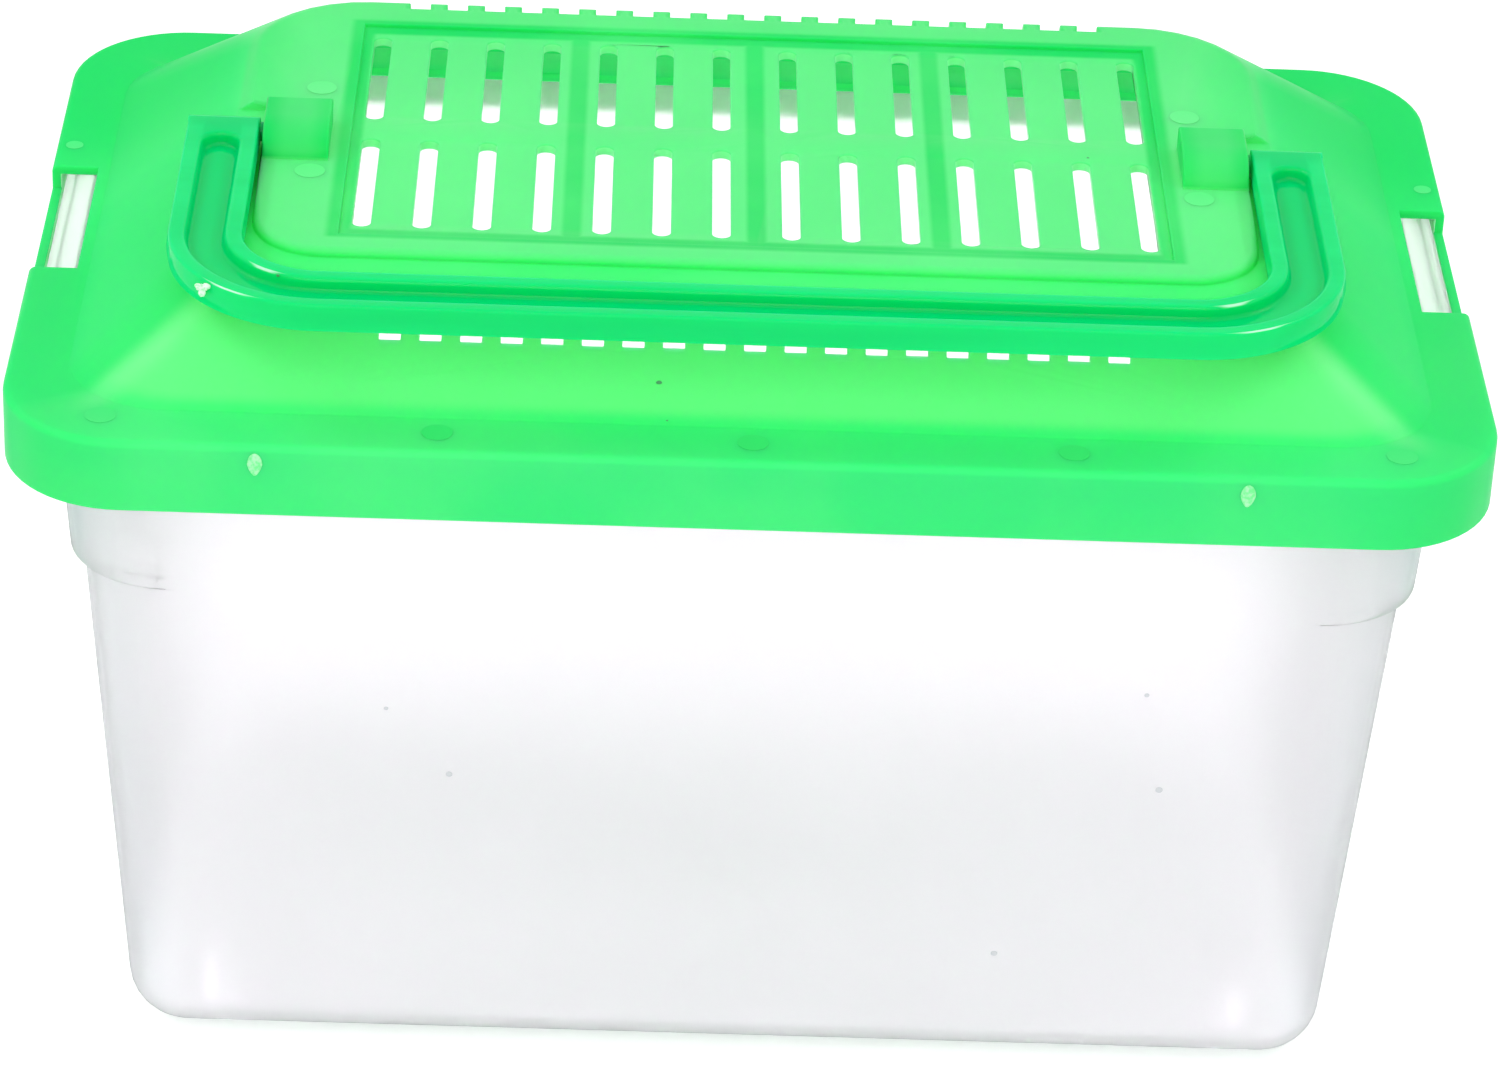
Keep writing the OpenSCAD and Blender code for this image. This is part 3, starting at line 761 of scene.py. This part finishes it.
class KEEPER_OT_bead_dimples(bpy.types.Operator):
    """Pale dents in the skirt over the beads of the catches"""

    bl_idname = "keeper.bead_dimples"
    bl_label = "Bead dimples"

    def execute(self, context):
        marks = context.scene.keeper_marks
        colours = context.scene.keeper_colours
        material, tree, shader = new_material("bead dimple", colours.scar, 0.3)
        point, parts = object_point(tree)
        speckle = ramp(tree, noise(tree, point, 1500), 0.35, 0.65)
        colour = mix_colour(tree, speckle, tuple(colours.scar), tuple(colours.lid_pale_and_painted_light))
        tree.links.new(colour, shader.inputs["Base Color"])
        size = Vector((1.2 * MM, 0.3 * MM, marks.dimple / 2))
        middle = 0.9 * MM
        dent = 0.22 * MM
        for side in (-1, 1):
            for front in (-1, 1):
                place = Vector((side * BEAD.x, front * BEAD.y, BEAD.z))
                deselect_all()
                bpy.ops.mesh.primitive_uv_sphere_add(segments=32, ring_count=16, radius=1, location=place)
                piece = context.object
                piece.name = "bead_dimple"
                piece.scale = size
                bpy.ops.object.transform_apply(location=True, scale=True)
                bpy.ops.object.mode_set(mode="EDIT")
                # The lower half narrows to a drop, and the middle is pressed in
                shape = bmesh.from_edit_mesh(piece.data)
                for vertex in shape.verts:
                    down = (place.z - vertex.co.z) / size.z
                    vertex.co.x = place.x + (vertex.co.x - place.x) * (1 - 0.3 * max(down, 0))
                    out = Vector((vertex.co.x - place.x, 0, vertex.co.z - place.z)).length
                    vertex.co.y -= front * dent * max(0, 1 - out / middle)
                bmesh.update_edit_mesh(piece.data)
                bpy.ops.object.mode_set(mode="OBJECT")
                bpy.ops.object.shade_smooth()
                piece.data.materials.append(material)
                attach(piece, "lid")
        return {"FINISHED"}


class KEEPER_OT_gate_burr(bpy.types.Operator):
    """Torn scrap of plastic where the handle was cut from its gate"""

    bl_idname = "keeper.gate_burr"
    bl_label = "Gate burr"

    def execute(self, context):
        colours = context.scene.keeper_colours
        material, tree, shader = new_material("gate burr", colours.burr, 0.35)
        point, parts = object_point(tree)
        pale = ramp(tree, noise(tree, point, 1800), 0.4, 0.6)
        colour = mix_colour(tree, pale, tuple(colours.burr), tuple(colours.scar))
        tree.links.new(colour, shader.inputs["Base Color"])
        place = Vector(BURR_PLACE) * MM
        deselect_all()
        bpy.ops.mesh.primitive_ico_sphere_add(subdivisions=4, radius=1 * MM, location=place)
        piece = context.object
        piece.name = "gate_burr"
        bpy.ops.object.mode_set(mode="EDIT")
        shape = bmesh.from_edit_mesh(piece.data)
        points = [Vector(point).normalized() for point in BURR_POINTS]
        for vertex in shape.verts:
            way = vertex.co.normalized()
            reach = max(0.0, max(way.dot(point) for point in points)) ** 3
            ragged = bpy_noise.noise(way * 2.6 + Vector((1.7, 0.3, 4.1)))
            vertex.co = way * (0.45 + 0.95 * reach + 0.3 * ragged) * MM
        bmesh.update_edit_mesh(piece.data)
        bpy.ops.object.mode_set(mode="OBJECT")
        bpy.ops.object.shade_smooth()
        bpy.ops.object.transform_apply(location=True)
        piece.data.materials.append(material)
        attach(piece, "handle")
        return {"FINISHED"}


class KEEPER_OT_specks(bpy.types.Operator):
    """Small burnt specks caught in the plastic"""

    bl_idname = "keeper.specks"
    bl_label = "Specks"

    def execute(self, context):
        colours = context.scene.keeper_colours
        dark = new_material("speck", colours.speck, 0.5)[0]
        grey = new_material("grey speck", colours.grey_speck, 0.6)[0]
        for body, slot, material, specks in (
            ("lid", "lid_green", dark, LID_SPECKS),
            ("handle", "handle_green", dark, HANDLE_SPECKS),
            ("tub", "clear_plastic", grey, TUB_SPECKS),
        ):
            for x, y, z, radius in specks:
                deselect_all()
                bpy.ops.mesh.primitive_ico_sphere_add(
                    subdivisions=2, radius=radius * MM, location=(x * MM, y * MM, z * MM)
                )
                piece = context.object
                piece.name = body + "_speck"
                piece.scale = (1, 0.35, 0.9)
                bpy.ops.object.transform_apply(location=True, scale=True)
                bpy.ops.object.shade_smooth()
                piece.data.materials.append(material)
                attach(piece, body)
        return {"FINISHED"}


class KEEPER_OT_stage(bpy.types.Operator):
    """Pale floor, soft light and the camera of the photograph"""

    bl_idname = "keeper.stage"
    bl_label = "Stage"

    def execute(self, context):
        stage = context.scene.keeper_stage
        deselect_all()
        bpy.ops.mesh.primitive_plane_add(size=8, location=(0, 0, 0))
        floor = context.object
        floor.name = "floor"
        material, tree, shader = new_material("floor", stage.floor, 0.8)
        shader.inputs["Specular IOR Level"].default_value = 0.0
        # The floor reads white to the eye and to clear plastic, and keeps the shadow
        rays = add_node(tree, "ShaderNodeLightPath").outputs
        plain = times(tree, highest(tree, rays["Is Camera Ray"], rays["Is Glossy Ray"]), 0.3)
        glow = highest(tree, plain, times(tree, rays["Is Transmission Ray"], 0.85))
        tree.links.new(glow, shader.inputs["Emission Strength"])
        shader.inputs["Emission Color"].default_value = (1, 1, 1, 1)
        floor.data.materials.append(material)
        self.light_world(context, stage.fill)
        self.add_lamp(context, "overhead", (1.4, 1.0), Vector((-0.15, -1.15, 1.0)), stage.lamp)
        for side in (-1, 1):
            self.add_lamp(context, "strip", (0.8, 0.08), Vector((side * 0.95, 0.15, 1.05)), stage.strip)
        camera = bpy.data.cameras.new("camera")
        camera.sensor_width = 36
        camera.lens = camera.sensor_width * stage.focal_px / IMAGE_WIDTH
        eye = bpy.data.objects.new("camera", camera)
        context.scene.collection.objects.link(eye)
        eye.matrix_world = (
            Matrix.Translation(stage.place)
            @ Matrix.Rotation(-stage.turn, 4, "Z")
            @ Matrix.Rotation(math.pi / 2 - stage.tilt, 4, "X")
            @ Matrix.Rotation(stage.roll, 4, "Z")
        )
        context.scene.camera = eye
        context.scene.view_settings.view_transform = "Standard"
        return {"FINISHED"}

    def add_lamp(self, context, name, size, place, power):
        """Area lamp that faces the origin"""
        lamp = bpy.data.lights.new(name, "AREA")
        lamp.shape = "RECTANGLE"
        lamp.size, lamp.size_y = size
        lamp.energy = power
        piece = bpy.data.objects.new(name, lamp)
        context.scene.collection.objects.link(piece)
        facing = (-place).to_track_quat("-Z", "Y").to_matrix().to_4x4()
        piece.matrix_world = Matrix.Translation(place) @ facing

    def light_world(self, context, strength):
        world = bpy.data.worlds.new("studio")
        context.scene.world = world
        world.use_nodes = True
        tree = world.node_tree
        background = tree.nodes["Background"]
        background.inputs["Color"].default_value = (1, 1, 1, 1)
        # White to the camera and to rays that gloss or clear plastic sends on
        rays = add_node(tree, "ShaderNodeLightPath").outputs
        seen = highest(tree, rays["Is Camera Ray"], rays["Is Glossy Ray"], rays["Is Transmission Ray"])
        level = math_node(tree, "MULTIPLY_ADD", seen, 1 - strength, strength)
        tree.links.new(level, background.inputs["Strength"])


class KEEPER_PT_panel(bpy.types.Panel):
    """Sizes, colours and stage of the pet keeper"""

    bl_idname = "KEEPER_PT_panel"
    bl_label = "Plastic pet keeper"
    bl_space_type = "VIEW_3D"
    bl_region_type = "UI"
    bl_category = "Pet keeper"

    def draw(self, context):
        layout = self.layout
        for group in (context.scene.keeper_colours, context.scene.keeper_marks, context.scene.keeper_stage):
            for key in group.bl_rna.properties.keys():
                if key not in {"rna_type", "name"}:
                    layout.prop(group, key)
        for operator in OPERATORS:
            layout.operator(operator.bl_idname)


GROUPS = (KeeperColours, KeeperMarks, KeeperStage)
OPERATORS = (
    KEEPER_OT_lid_finish,
    KEEPER_OT_handle_finish,
    KEEPER_OT_tub_finish,
    KEEPER_OT_ejector_marks,
    KEEPER_OT_bead_dimples,
    KEEPER_OT_gate_burr,
    KEEPER_OT_specks,
    KEEPER_OT_stage,
)


def register():
    for each in (*GROUPS, *OPERATORS, KEEPER_PT_panel):
        bpy.utils.register_class(each)
    bpy.types.Scene.keeper_colours = bpy.props.PointerProperty(type=KeeperColours)
    bpy.types.Scene.keeper_marks = bpy.props.PointerProperty(type=KeeperMarks)
    bpy.types.Scene.keeper_stage = bpy.props.PointerProperty(type=KeeperStage)


def unregister():
    del bpy.types.Scene.keeper_stage
    del bpy.types.Scene.keeper_marks
    del bpy.types.Scene.keeper_colours
    for each in reversed((*GROUPS, *OPERATORS, KEEPER_PT_panel)):
        bpy.utils.unregister_class(each)


def main():
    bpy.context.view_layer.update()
    register()
    bpy.ops.keeper.lid_finish()
    bpy.ops.keeper.handle_finish()
    bpy.ops.keeper.tub_finish()
    bpy.ops.keeper.ejector_marks()
    bpy.ops.keeper.bead_dimples()
    bpy.ops.keeper.gate_burr()
    bpy.ops.keeper.specks()
    bpy.ops.keeper.stage()


if __name__ == "__main__":
    main()
